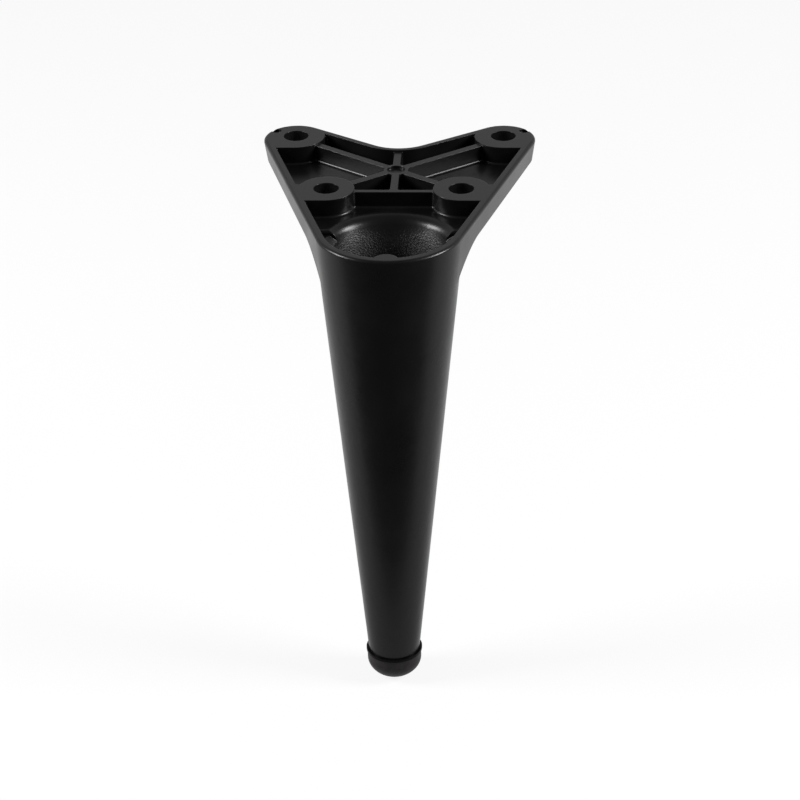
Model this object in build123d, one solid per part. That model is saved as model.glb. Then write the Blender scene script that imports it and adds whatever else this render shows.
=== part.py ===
from build123d import *
import os
from math import asin, atan2, cos, degrees, hypot, radians, sin, sqrt, tan

# A die-cast furniture leg with an arrow-shaped fixing head, and the moulded glide in its foot.
# All sizes are in millimetres. The origin is on the floor under the middle of the glide, +Z is up
# to the mounting face and +Y runs back towards the two rear lobes of the head.

# Overall
leg_height = 150.0            # floor to mounting face
lean_angle = 11.0             # degrees that the leg leans forward on its way down

# Fixing head, seen in plan from the middle of the leg's top
front_hole_spacing = 44.0
rear_hole_spacing = 70.0
front_row_y = 29.8
hole_row_distance = 42.0
screw_hole_diameter = 8.4
front_boss_radius = 9.2
rear_boss_radius = 9.7
lobe_radius = 10.9
lobe_ahead_of_hole = 1.3      # the lobe's middle lies this far in front of its screw hole
notch_bottom_y = 62.6
notch_radius = 13.5
head_depth = 7.8
head_draft = 1.2              # how much narrower each side is at the underside
wall = 2.6                    # side walls, rear wall and the leg's own wall
top_edge_radius = 1.0

# Pockets, ribs and hub
pocket_depth = 6.25
pocket_corner_radius = 0.8
pocket_foot_radius = 0.9
rib_below_face = 0.65         # the rib tops lie this far under the mounting face
rib_thickness = 2.4
cross_wall_thickness = 1.8
cross_wall_ahead = 0.6        # the cross wall runs this far in front of the front screw holes
web_back = 3.0                # the web from each front boss to its side wall ends this far behind the hole
hub_radius = 4.0
hub_recess_radius = 3.0
hub_recess_depth = 1.0
lobe_dimple_radius = 1.7
lobe_dimple_depth = 1.2
lobe_dimple_reach = 9.0       # from the lobe's middle
lobe_dimple_angle = 39.0      # degrees from the X direction

# Leg
leg_top_radius = 23.9
leg_end_radius = 8.4
neck_flare_radius = 9.0
chamber_back_y = 10.8         # flat step faces beside the bowl
chamber_depth = 24.0
bowl_radius = 20.0
bowl_middle_y = 2.7
bowl_lip_radius = 2.6
bowl_foot_step = 0.3          # small ledge where the bowl meets the leg's own hollow
chamber_lip_radius = 1.3
hollow_end_height = 32.0      # above the floor, where the hollow ends
rim_pad_radius = 4.0
rim_pad_middle_y = -22.5
rim_pad_length = 9.0

# Glide
glide_lip_radius = 9.2
glide_lip_thickness = 0.85
glide_body_radius = 8.87
glide_body_height = 9.35      # floor to the underside of the lip
glide_dome_height = 6.7
glide_land_radius = 2.0
stem_radius = 3.0
stem_length = 10.0
stem_chamfer = 0.8
stem_clearance = 0.05
socket_spare_depth = 1.0

# Worked out from the sizes above
leg_end_height = glide_body_height + glide_lip_thickness
lean = tan(radians(lean_angle))
top_y = (leg_height - leg_end_height) * lean
leg_length = leg_height - leg_end_height
rear_row_y = front_row_y + hole_row_distance
front_x = front_hole_spacing / 2
rear_x = rear_hole_spacing / 2
lobe_y = rear_row_y - lobe_ahead_of_hole
hub_y = front_row_y + hole_row_distance * front_x / (front_x + rear_x)
radius_per_depth = (leg_top_radius - leg_end_radius) / leg_length
flare_depth = head_depth + neck_flare_radius + 1.0
hollow_depth = leg_height - hollow_end_height
wide = 2 * (rear_x + lobe_radius)
cut_over = 1.0                # how far a cut runs on past what it opens


def leg_radius(depth):
    """Outer radius of the leg at a depth below the mounting face."""
    return leg_top_radius - radius_per_depth * depth


def head_outline(inset, depth):
    """Arrow outline of the head at a depth, with its draft, moved inwards by inset."""
    draft_in = inset + head_draft / head_depth * depth
    lobe_r = lobe_radius - draft_in
    leg_r = leg_radius(depth) - inset
    leg_y = -lean * depth
    reach = hypot(rear_x, lobe_y - leg_y)
    side = atan2(rear_x, lobe_y - leg_y) - asin((leg_r - lobe_r) / reach)
    side_out = Vector(cos(side), -sin(side))
    lobe = Vector(rear_x, lobe_y)
    leg = Vector(0, leg_y)

    notch_r = notch_radius + draft_in
    notch = Vector(0, notch_bottom_y + notch_radius)
    gap = lobe - notch
    rear = atan2(gap.Y, gap.X) + asin((lobe_r + notch_r) / gap.length)
    rear_out = Vector(-sin(rear), cos(rear))

    leg_right = leg + side_out * leg_r
    lobe_right = lobe + side_out * lobe_r
    lobe_rear = lobe + rear_out * lobe_r
    notch_right = notch - rear_out * notch_r
    lobe_tip = lobe + (side_out + rear_out).normalized() * lobe_r

    def mirrored(point):
        return Vector(-point.X, point.Y)

    edges = [
        ThreePointArc(mirrored(leg_right), leg - Vector(0, leg_r), leg_right),
        Line(leg_right, lobe_right),
        ThreePointArc(lobe_right, lobe_tip, lobe_rear),
        Line(lobe_rear, notch_right),
        ThreePointArc(notch_right, notch - Vector(0, notch_r), mirrored(notch_right)),
        Line(mirrored(notch_right), mirrored(lobe_rear)),
        ThreePointArc(mirrored(lobe_rear), mirrored(lobe_tip), mirrored(lobe_right)),
        Line(mirrored(lobe_right), mirrored(leg_right)),
    ]
    return make_face(Wire(edges))


def head_block(inset, top, bottom):
    """The arrow as a drafted block between two depths."""
    upper = Pos(0, 0, -top) * head_outline(inset, top)
    lower = Pos(0, 0, -bottom) * head_outline(inset, bottom)
    return loft([upper, lower], ruled=True)


def leaned(solid, slope):
    """Slides each level of an upright solid forward in step with its depth."""
    return solid.transform_geometry(Matrix([[1, 0, 0, 0], [0, 1, slope, 0], [0, 0, 1, 0], [0, 0, 0, 1]]))


def taper(inset, top, bottom):
    """The leg's round taper between two depths, moved inwards by inset."""
    upper = Pos(0, -lean * top, -top) * Circle(leg_radius(top) - inset)
    lower = Pos(0, -lean * bottom, -bottom) * Circle(leg_radius(bottom) - inset)
    return loft([upper, lower], ruled=True)


def neck_flare(inset):
    """The hollow-curved flare that carries the head's underside into the leg."""
    slope = atan2(radius_per_depth, 1)
    flare_r = neck_flare_radius + inset
    start_r = leg_radius(head_depth) - inset
    middle_r = start_r + flare_r / cos(slope) - flare_r * tan(slope)
    middle = Vector(middle_r, -head_depth - neck_flare_radius)
    foot = middle - Vector(cos(slope), -sin(slope)) * flare_r
    top = middle + Vector(0, flare_r)
    corner = middle + Vector(-1, 1).normalized() * flare_r
    profile = [
        Line((0, top.Y), top),
        ThreePointArc(top, corner, foot),
        Line(foot, (0, foot.Y)),
        Line((0, foot.Y), (0, top.Y)),
    ]
    turned = revolve(Plane.XZ * make_face(Wire(profile)), Axis.Z)
    return leaned(turned, lean)


def outer_form(inset):
    """Head and leg as one closed form, moved inwards by inset."""
    head = head_block(inset, 0, head_depth)
    leg = taper(inset, head_depth, leg_length)
    flare = neck_flare(inset) & head_block(inset, head_depth, flare_depth)
    return head + leg + flare


def rectangle(x0, x1, y0, y1):
    return Pos((x0 + x1) / 2, (y0 + y1) / 2) * Rectangle(x1 - x0, y1 - y0)


def both_sides(face):
    return face + mirror(face, about=Plane.YZ)


def bar(start, end, thickness):
    """Plan of a straight rib between two points."""
    line = Line(start, end)
    middle = Location(line @ 0.5) * Rot(0, 0, degrees(atan2(end[1] - start[1], end[0] - start[0])))
    return middle * Rectangle(line.length, thickness)


def full_height_plan():
    """Plan of what reaches the mounting face inside the walls: bosses with their webs, and the rim pad."""
    front_web = rectangle(front_x, wide, front_row_y - front_boss_radius, front_row_y + web_back)
    rear_web = rectangle(rear_x, wide, rear_row_y - rear_boss_radius, rear_row_y + wide)
    front_boss = Pos(front_x, front_row_y) * Circle(front_boss_radius)
    rear_boss = Pos(rear_x, rear_row_y) * Circle(rear_boss_radius)
    pad = Pos(0, rim_pad_middle_y) * Circle(rim_pad_radius)
    return both_sides(front_boss + rear_boss + front_web + rear_web) + pad


def rib_plan():
    """Plan of the crossed ribs, the fore-and-aft rib, the hub and the cross wall."""
    cross_y = front_row_y - cross_wall_ahead
    diagonals = both_sides(bar((-rear_x, rear_row_y), (front_x, front_row_y), rib_thickness))
    middle_rib = rectangle(-rib_thickness / 2, rib_thickness / 2, cross_y, notch_bottom_y)
    cross_wall = Pos(0, cross_y) * Rectangle(front_hole_spacing, cross_wall_thickness)
    hub = Pos(0, hub_y) * Circle(hub_radius)
    return diagonals + middle_rib + cross_wall + hub


def sharp_corners(face):
    """The corners of a plan face where its outline turns, without the points where it runs on smoothly."""
    corners = []
    for vertex in face.vertices():
        point = Vector(*vertex)
        directions = [edge % end for edge in face.edges() for end in (0, 1) if (edge @ end - point).length < 0.001]
        if directions[0].cross(directions[1]).length > 0.1:
            corners.append(vertex)
    return corners


def pocket(face):
    """One pocket as a solid to cut away, with rounded corners and a rounded foot."""
    rounded = face.fillet_2d(pocket_corner_radius, sharp_corners(face))
    block = extrude(rounded, amount=-pocket_depth)
    foot = block.edges().filter_by_position(Axis.Z, -pocket_depth - 0.001, -pocket_depth + 0.001)
    return fillet(foot, pocket_foot_radius)


def bowl():
    """The round-backed mouth of the hollow, which leans forward as it narrows into the leg's own hollow."""
    lip_middle = Vector(bowl_radius + bowl_lip_radius, -pocket_depth - bowl_lip_radius)
    lip_corner = lip_middle + Vector(-1, 1).normalized() * bowl_lip_radius
    lip_top = lip_middle + Vector(0, bowl_lip_radius)
    lip_end = lip_middle - Vector(bowl_lip_radius, 0)
    mouth = lip_top + Vector(0, cut_over)
    foot_depth = chamber_depth + cut_over
    foot = Vector(leg_radius(foot_depth) - wall - bowl_foot_step, -foot_depth)
    profile = [
        Line((0, mouth.Y), mouth),
        Line(mouth, lip_top),
        ThreePointArc(lip_top, lip_corner, lip_end),
        Line(lip_end, foot),
        Line(foot, (0, foot.Y)),
        Line((0, foot.Y), (0, mouth.Y)),
    ]
    turned = revolve(Plane.XZ * make_face(Wire(profile)), Axis.Z)
    slope = (bowl_middle_y + lean * foot_depth) / (foot_depth - pocket_depth)
    return Pos(0, bowl_middle_y + slope * pocket_depth, 0) * leaned(turned, slope)


def chamber():
    """The front of the hollow: it fills the walls forward of two flat step faces with rounded lips."""
    lip_middle = Vector(chamber_back_y + chamber_lip_radius, -pocket_depth - chamber_lip_radius)
    lip_corner = lip_middle + Vector(-1, 1).normalized() * chamber_lip_radius
    lip_top = lip_middle + Vector(0, chamber_lip_radius)
    lip_end = lip_middle - Vector(chamber_lip_radius, 0)
    profile = [
        Line((-wide, 0), (lip_top.X, 0)),
        Line((lip_top.X, 0), lip_top),
        ThreePointArc(lip_top, lip_corner, lip_end),
        Line(lip_end, (lip_end.X, -chamber_depth)),
        Line((lip_end.X, -chamber_depth), (-wide, -chamber_depth)),
        Line((-wide, -chamber_depth), (-wide, 0)),
    ]
    forward = extrude(Plane.YZ * make_face(Wire(profile)), amount=wide, both=True)
    pad = Pos(0, rim_pad_middle_y, 0) * extrude(Circle(rim_pad_radius), amount=-rim_pad_length)
    return outer_form(wall) & forward - pad


def leg_casting():
    """The one-piece casting, with its origin moved to the floor under the glide."""
    block = outer_form(0)
    rim = block.edges().filter_by_position(Axis.Z, -0.001, 0.001)
    block = fillet(rim, top_edge_radius)

    recess = head_outline(wall, 0) - full_height_plan()
    block -= extrude(recess, amount=-rib_below_face)
    for face in (recess - rib_plan()).faces():
        block -= pocket(face)
    block -= chamber()
    block -= bowl()
    block -= taper(wall, chamber_depth, hollow_depth)

    for side in (-1, 1):
        for x, y in ((front_x, front_row_y), (rear_x, rear_row_y)):
            block -= Pos(side * x, y, -head_depth / 2) * Cylinder(screw_hole_diameter / 2, 2 * head_depth)
        dimple_x = rear_x + lobe_dimple_reach * cos(radians(lobe_dimple_angle))
        dimple_y = lobe_y + lobe_dimple_reach * sin(radians(lobe_dimple_angle))
        block -= Pos(side * dimple_x, dimple_y, 0) * Cylinder(lobe_dimple_radius, 2 * lobe_dimple_depth)
    block -= Pos(0, hub_y, -rib_below_face) * Cylinder(hub_recess_radius, 2 * hub_recess_depth)

    placed = Pos(0, top_y, leg_height) * block
    socket_depth = stem_length + socket_spare_depth
    socket = Pos(0, 0, leg_end_height + socket_depth / 2) * Cylinder(stem_radius + stem_clearance, socket_depth)
    return placed - socket


def glide():
    """The moulded glide: a domed foot with a wider lip, and the stem that pushes into the leg."""
    dome_drop = glide_dome_height * (1 - sqrt(1 - (glide_land_radius / glide_body_radius) ** 2))
    dome_middle = glide_dome_height - dome_drop
    lip_top = leg_end_height
    tip = lip_top + stem_length
    dome = EllipticalCenterArc((0, dome_middle), glide_body_radius, glide_dome_height, start_angle=270, arc_size=90)
    outline = Polyline(
        dome @ 1,
        (glide_body_radius, glide_body_height),
        (glide_lip_radius, glide_body_height),
        (glide_lip_radius, lip_top),
        (stem_radius, lip_top),
        (stem_radius, tip - stem_chamfer),
        (stem_radius - stem_chamfer, tip),
        (0, tip),
        dome @ 0,
    )
    turned = revolve(Plane.XZ * make_face(Wire([dome] + outline.edges())), Axis.Z)
    return split(turned, bisect_by=Plane.XY, keep=Keep.TOP)


os.makedirs("parts", exist_ok=True)
export_step(leg_casting(), "parts/leg_casting.step")
export_step(glide(), "parts/glide.step")
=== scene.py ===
import bpy, bmesh
from math import radians
from mathutils import Matrix, Vector

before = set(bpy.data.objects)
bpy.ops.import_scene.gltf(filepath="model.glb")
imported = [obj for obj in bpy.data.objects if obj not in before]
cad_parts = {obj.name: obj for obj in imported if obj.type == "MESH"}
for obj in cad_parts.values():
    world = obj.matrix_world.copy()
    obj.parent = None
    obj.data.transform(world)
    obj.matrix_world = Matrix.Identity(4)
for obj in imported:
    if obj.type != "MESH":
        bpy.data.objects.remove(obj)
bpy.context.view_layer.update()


def linear(hex_colour):
    """sRGB hex to the linear colour that the shader takes."""
    parts = [int(hex_colour[i:i + 2], 16) / 255 for i in (1, 3, 5)]
    return [v / 12.92 if v <= 0.04045 else ((v + 0.055) / 1.055) ** 2.4 for v in parts] + [1.0]


def add_node(tree, kind, settings=None, links=None):
    """Adds one node; settings are its own attributes and socket values, links feed its sockets."""
    node = tree.nodes.new(kind)
    for name, value in (settings or {}).items():
        if isinstance(name, int) or name in node.inputs:
            node.inputs[name].default_value = value
        else:
            setattr(node, name, value)
    for name, source in (links or {}).items():
        tree.links.new(source, node.inputs[name])
    return node


def empty_material(name):
    material = bpy.data.materials.new(name)
    material.use_nodes = True
    material.node_tree.nodes.clear()
    return material


# Casting: the fixing head and the hollow tapered leg are one aluminium die casting.
# It is coated with satin black polyester powder, baked into a skin with a faint orange peel
# and soft edges. Deep in the hollow the powder lies thin and rough on the blasted metal.
casting_end_height = 0.0102             # the casting's lower end, above the floor
hollow_end_radius = 0.0062              # round the hollow's middle line, carried down to that end
hollow_growth = 0.1109                  # how much that radius grows per metre of height
leg_lean = 0.1944                       # the tangent of the leg's 11 degrees
bowl_foot_height = 0.125                # where the bowl at the hollow's mouth begins
bowl_extra_lean = 0.2095                # what the bowl adds to the lean
dry_from_height, all_dry_height = 0.1425, 0.136
peel_width, peel_height = 0.0012, 0.00004
grain_width, grain_height = 0.00055, 0.00025
patch_width = 0.012
edge_rounding = 0.0003

# Polyester powder coat: a plastic skin, so no metallic. Satin gives broad soft reflections,
# and where the powder is thin and dry they turn dull and speckled.
powder_coat = empty_material("satin_black_powder_coat")
tree = powder_coat.node_tree
place = add_node(tree, "ShaderNodeTexCoord")

# Where the coat is dry: inside the hollow's radius round its middle line, and below its mouth.
spot = add_node(tree, "ShaderNodeSeparateXYZ", {}, {0: place.outputs["Object"]})
up_leg = add_node(tree, "ShaderNodeMath", {"operation": "SUBTRACT", 1: casting_end_height},
                  {0: spot.outputs["Z"]})
up_bowl = add_node(tree, "ShaderNodeMath", {"operation": "SUBTRACT", 1: bowl_foot_height},
                   {0: spot.outputs["Z"]})
in_bowl = add_node(tree, "ShaderNodeMath", {"operation": "MAXIMUM", 1: 0.0}, {0: up_bowl.outputs[0]})
bowl_lean = add_node(tree, "ShaderNodeMath", {"operation": "MULTIPLY", 1: bowl_extra_lean},
                     {0: in_bowl.outputs[0]})
middle_y = add_node(tree, "ShaderNodeMath", {"operation": "MULTIPLY_ADD", 1: leg_lean},
                    {0: up_leg.outputs[0], 2: bowl_lean.outputs[0]})
off_y = add_node(tree, "ShaderNodeMath", {"operation": "SUBTRACT"},
                 {0: spot.outputs["Y"], 1: middle_y.outputs[0]})
off_line = add_node(tree, "ShaderNodeCombineXYZ", {}, {0: spot.outputs["X"], 1: off_y.outputs[0]})
off = add_node(tree, "ShaderNodeVectorMath", {"operation": "LENGTH"}, {0: off_line.outputs[0]})
hollow_radius = add_node(tree, "ShaderNodeMath",
                         {"operation": "MULTIPLY_ADD", 1: hollow_growth, 2: hollow_end_radius},
                         {0: up_leg.outputs[0]})
inside = add_node(tree, "ShaderNodeMath", {"operation": "LESS_THAN"},
                  {0: off.outputs["Value"], 1: hollow_radius.outputs[0]})
below = add_node(tree, "ShaderNodeMapRange",
                 {"interpolation_type": "SMOOTHSTEP", "From Min": dry_from_height,
                  "From Max": all_dry_height, "To Min": 0.0, "To Max": 1.0},
                 {"Value": spot.outputs["Z"]})
dry = add_node(tree, "ShaderNodeMath", {"operation": "MULTIPLY"},
               {0: inside.outputs[0], 1: below.outputs["Result"]})

# Orange peel of a powder coat: ripples about 1.2 mm across, a few microns high.
peel = add_node(tree, "ShaderNodeTexNoise", {"Scale": 1 / peel_width, "Detail": 2.0, "Roughness": 0.5},
                {"Vector": place.outputs["Object"]})
# Dry powder on blasted metal: grains about 0.55 mm across, coarser than real grit so that they show.
grain = add_node(tree, "ShaderNodeTexNoise", {"Scale": 1 / grain_width, "Detail": 2.0, "Roughness": 0.7},
                 {"Vector": place.outputs["Object"]})
soft_edge = add_node(tree, "ShaderNodeBevel", {"samples": 10, "Radius": edge_rounding})
peel_bump = add_node(tree, "ShaderNodeBump", {"Strength": 0.25, "Distance": peel_height},
                     {"Height": peel.outputs["Fac"], "Normal": soft_edge.outputs["Normal"]})
grain_bump = add_node(tree, "ShaderNodeBump", {"Distance": grain_height},
                      {"Height": grain.outputs["Fac"], "Strength": dry.outputs[0],
                       "Normal": peel_bump.outputs["Normal"]})
# The coat is a little thicker and glossier in soft patches some 12 mm across.
patches = add_node(tree, "ShaderNodeTexNoise", {"Scale": 1 / patch_width, "Detail": 3.0, "Roughness": 0.55},
                   {"Vector": place.outputs["Object"]})
gloss = add_node(tree, "ShaderNodeMapRange",
                 {"From Min": 0.3, "From Max": 0.7, "To Min": 0.27, "To Max": 0.33},
                 {"Value": patches.outputs["Fac"]})
dulled = add_node(tree, "ShaderNodeMapRange", {"To Max": 0.42},
                  {"Value": dry.outputs[0], "To Min": gloss.outputs["Result"]})
tint = add_node(tree, "ShaderNodeValToRGB", {}, {"Fac": patches.outputs["Fac"]})
tint.color_ramp.elements[0].position, tint.color_ramp.elements[0].color = 0.3, linear("#080808")
tint.color_ramp.elements[1].position, tint.color_ramp.elements[1].color = 0.7, linear("#0c0c0c")
coat = add_node(tree, "ShaderNodeBsdfPrincipled", {"IOR": 1.5, "Specular IOR Level": 0.2},
                {"Base Color": tint.outputs["Color"], "Roughness": dulled.outputs["Result"],
                 "Normal": grain_bump.outputs["Normal"]})
add_node(tree, "ShaderNodeOutputMaterial", {}, {"Surface": coat.outputs["BSDF"]})
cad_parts["leg_casting"].material_slots[0].material = powder_coat


# Glide: one moulding in dark grey polyethylene, pushed into the end of the leg by its stem.
# Its skin is matt and faintly mottled from the mould, and its thin lip stands proud of the leg.
mottle_width = 0.0025
skin_width, skin_height = 0.0007, 0.00005
under_lip_height = 0.0093               # just below the lip, which runs from 9.35 to 10.2 mm

glide_plastic = empty_material("matt_moulded_polyethylene")
tree = glide_plastic.node_tree
place = add_node(tree, "ShaderNodeTexCoord")
mottle = add_node(tree, "ShaderNodeTexNoise", {"Scale": 1 / mottle_width, "Detail": 3.0, "Roughness": 0.6},
                  {"Vector": place.outputs["Object"]})
shade = add_node(tree, "ShaderNodeValToRGB", {}, {"Fac": mottle.outputs["Fac"]})
shade.color_ramp.elements[0].position, shade.color_ramp.elements[0].color = 0.35, linear("#0f0d0d")
shade.color_ramp.elements[1].position, shade.color_ramp.elements[1].color = 0.7, linear("#1b1817")
# The lip is painted near black with a weaker reflection and a smoother finish: painted shade at its joint
# with the leg's end.
level = add_node(tree, "ShaderNodeSeparateXYZ", {}, {0: place.outputs["Object"]})
on_lip = add_node(tree, "ShaderNodeMath", {"operation": "GREATER_THAN", 1: under_lip_height},
                  {0: level.outputs["Z"]})
# The near-black #060606 mixed in on the lip is painted shade, not the plastic's own colour.
mottle_and_painted_lip_shade = add_node(tree, "ShaderNodeMix", {"data_type": "RGBA", 7: linear("#060606")},
               {0: on_lip.outputs[0], 6: shade.outputs["Color"]})
finish = add_node(tree, "ShaderNodeMapRange", {"To Min": 0.5, "To Max": 0.3}, {"Value": on_lip.outputs[0]})
shine = add_node(tree, "ShaderNodeMapRange", {"To Min": 0.16, "To Max": 0.04}, {"Value": on_lip.outputs[0]})
skin = add_node(tree, "ShaderNodeTexNoise", {"Scale": 1 / skin_width, "Detail": 2.0},
                {"Vector": place.outputs["Object"]})
skin_bump = add_node(tree, "ShaderNodeBump", {"Strength": 0.35, "Distance": skin_height},
                     {"Height": skin.outputs["Fac"]})
plastic = add_node(tree, "ShaderNodeBsdfPrincipled", {"IOR": 1.5},
                   {"Base Color": mottle_and_painted_lip_shade.outputs[2], "Roughness": finish.outputs["Result"],
                    "Specular IOR Level": shine.outputs["Result"],
                    "Normal": skin_bump.outputs["Normal"]})
add_node(tree, "ShaderNodeOutputMaterial", {}, {"Surface": plastic.outputs["BSDF"]})
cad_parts["glide"].material_slots[0].material = glide_plastic


# Floor: a plain pale studio table under the glide. It fades out a little in front of the leg, so
# the front of the leg mirrors the dim room beyond it. It keeps the leg's soft shadow.
floor_half = 6.0
floor_front_y = -0.22
fade_from_y, fade_to_y = -0.06, -0.12
white_share = 0.86                      # the rest is the paint, which takes the shadow

floor_mesh = bpy.data.meshes.new("floor")
shape = bmesh.new()
bmesh.ops.create_grid(shape, x_segments=1, y_segments=1, size=floor_half,
                      matrix=Matrix.Translation((0, floor_front_y + floor_half, 0)))
shape.to_mesh(floor_mesh)
shape.free()
floor = bpy.data.objects.new("floor", floor_mesh)
bpy.context.scene.collection.objects.link(floor)
pale_floor = empty_material("pale_floor")
tree = pale_floor.node_tree
rays = add_node(tree, "ShaderNodeLightPath")
straight = add_node(tree, "ShaderNodeMath", {"operation": "MAXIMUM"},
                    {0: rays.outputs["Is Camera Ray"], 1: rays.outputs["Is Transmission Ray"]})
seen = add_node(tree, "ShaderNodeMath", {"operation": "MAXIMUM"},
                {0: straight.outputs[0], 1: rays.outputs["Is Glossy Ray"]})
paint = add_node(tree, "ShaderNodeBsdfDiffuse", {"Color": linear("#c4c4c4")})
glow = add_node(tree, "ShaderNodeEmission", {"Color": linear("#ffffff"), "Strength": 1.0})
part_glow = add_node(tree, "ShaderNodeMath", {"operation": "MULTIPLY", 1: white_share},
                     {0: seen.outputs[0]})
floor_look = add_node(tree, "ShaderNodeMixShader", {},
                      {0: part_glow.outputs[0], 1: paint.outputs["BSDF"], 2: glow.outputs["Emission"]})
floor_spot = add_node(tree, "ShaderNodeTexCoord")
floor_sides = add_node(tree, "ShaderNodeSeparateXYZ", {}, {0: floor_spot.outputs["Object"]})
there = add_node(tree, "ShaderNodeMapRange",
                 {"interpolation_type": "SMOOTHSTEP", "From Min": fade_to_y, "From Max": fade_from_y,
                  "To Min": 0.0, "To Max": 1.0},
                 {"Value": floor_sides.outputs["Y"]})
clear = add_node(tree, "ShaderNodeBsdfTransparent")
faded_floor = add_node(tree, "ShaderNodeMixShader", {},
                       {0: there.outputs["Result"], 1: clear.outputs[0], 2: floor_look.outputs["Shader"]})
add_node(tree, "ShaderNodeOutputMaterial", {}, {"Surface": faded_floor.outputs["Shader"]})
floor_mesh.materials.append(pale_floor)


# Studio: a white surround to look at. The light that falls on the leg from it is pale behind the
# leg and dim on the camera's side, with a soft box high on each side.
all_behind_y = 0.6                      # the Y of a direction that counts as fully behind the leg
dim_side, pale_side = 0.16, 0.45
backdrop_in_gloss = 0.35

world = bpy.data.worlds.new("studio")
world.use_nodes = True
bpy.context.scene.world = world
tree = world.node_tree
tree.nodes.clear()
rays = add_node(tree, "ShaderNodeLightPath")
straight = add_node(tree, "ShaderNodeMath", {"operation": "MAXIMUM"},
                    {0: rays.outputs["Is Camera Ray"], 1: rays.outputs["Is Transmission Ray"]})
towards = add_node(tree, "ShaderNodeTexCoord")
split = add_node(tree, "ShaderNodeSeparateXYZ", {}, {0: towards.outputs["Generated"]})
from_behind = add_node(tree, "ShaderNodeMapRange",
                       {"interpolation_type": "SMOOTHSTEP", "From Min": 0.0, "From Max": all_behind_y,
                        "To Min": dim_side, "To Max": pale_side},
                       {"Value": split.outputs["Y"]})
# The gloss shows the white backdrop too, but only behind the leg and in part.
backdrop = add_node(tree, "ShaderNodeMapRange",
                    {"interpolation_type": "SMOOTHSTEP", "From Min": 0.0, "From Max": all_behind_y,
                     "To Min": 0.0, "To Max": backdrop_in_gloss},
                    {"Value": split.outputs["Y"]})
in_gloss = add_node(tree, "ShaderNodeMath", {"operation": "MULTIPLY"},
                    {0: rays.outputs["Is Glossy Ray"], 1: backdrop.outputs["Result"]})
seen = add_node(tree, "ShaderNodeMath", {"operation": "MAXIMUM"},
                {0: straight.outputs[0], 1: in_gloss.outputs[0]})
white = add_node(tree, "ShaderNodeBackground", {"Color": linear("#ffffff"), "Strength": 1.0})
room = add_node(tree, "ShaderNodeBackground", {"Color": linear("#ffffff")},
                {"Strength": from_behind.outputs["Result"]})
surround = add_node(tree, "ShaderNodeMixShader", {},
                    {0: seen.outputs[0], 1: room.outputs["Background"], 2: white.outputs["Background"]})
add_node(tree, "ShaderNodeOutputWorld", {}, {"Surface": surround.outputs["Shader"]})

lamp_size = 0.36
lamp_target = Vector((0, 0.03, 0.08))   # the middle of the leg


def softbox(name, place, watts):
    """A square area lamp that faces the middle of the leg."""
    lamp = bpy.data.lights.new(name, "AREA")
    lamp.shape, lamp.size, lamp.energy = "SQUARE", lamp_size, watts
    box = bpy.data.objects.new(name, lamp)
    box.location = place
    box.rotation_euler = (lamp_target - Vector(place)).to_track_quat("-Z", "Y").to_euler()
    bpy.context.scene.collection.objects.link(box)


softbox("left_box", (-0.85, -0.05, 0.58), 15)
softbox("right_box", (0.85, -0.05, 0.58), 16)


# Camera: a long lens slightly right of the leg, looking down on the head, as in the photograph.
picture_width = 800                     # pixels
aim = Vector((0, 0.02717, 0.075))
eye = Vector((0.04922, -0.79857, 0.54735))

camera = bpy.data.objects.new("camera", bpy.data.cameras.new("camera"))
camera.data.lens = 130.5
camera.data.sensor_width = 36
camera.data.shift_x, camera.data.shift_y = -0.5 / picture_width, 0.5 / picture_width
forward = (aim - eye).normalized()
right = forward.cross(Vector((0, 0, 1))).normalized()
turned = Matrix((right, right.cross(forward), -forward)).transposed()
yaw = Matrix.Rotation(radians(0.142), 3, "Y")
pitch = Matrix.Rotation(radians(-0.668), 3, "X")
roll = Matrix.Rotation(radians(1.387), 3, "Z")
camera.matrix_world = Matrix.Translation(eye) @ (turned @ (roll @ pitch @ yaw).transposed()).to_4x4()
bpy.context.scene.collection.objects.link(camera)
bpy.context.scene.camera = camera

bpy.context.scene.view_settings.view_transform = "Standard"
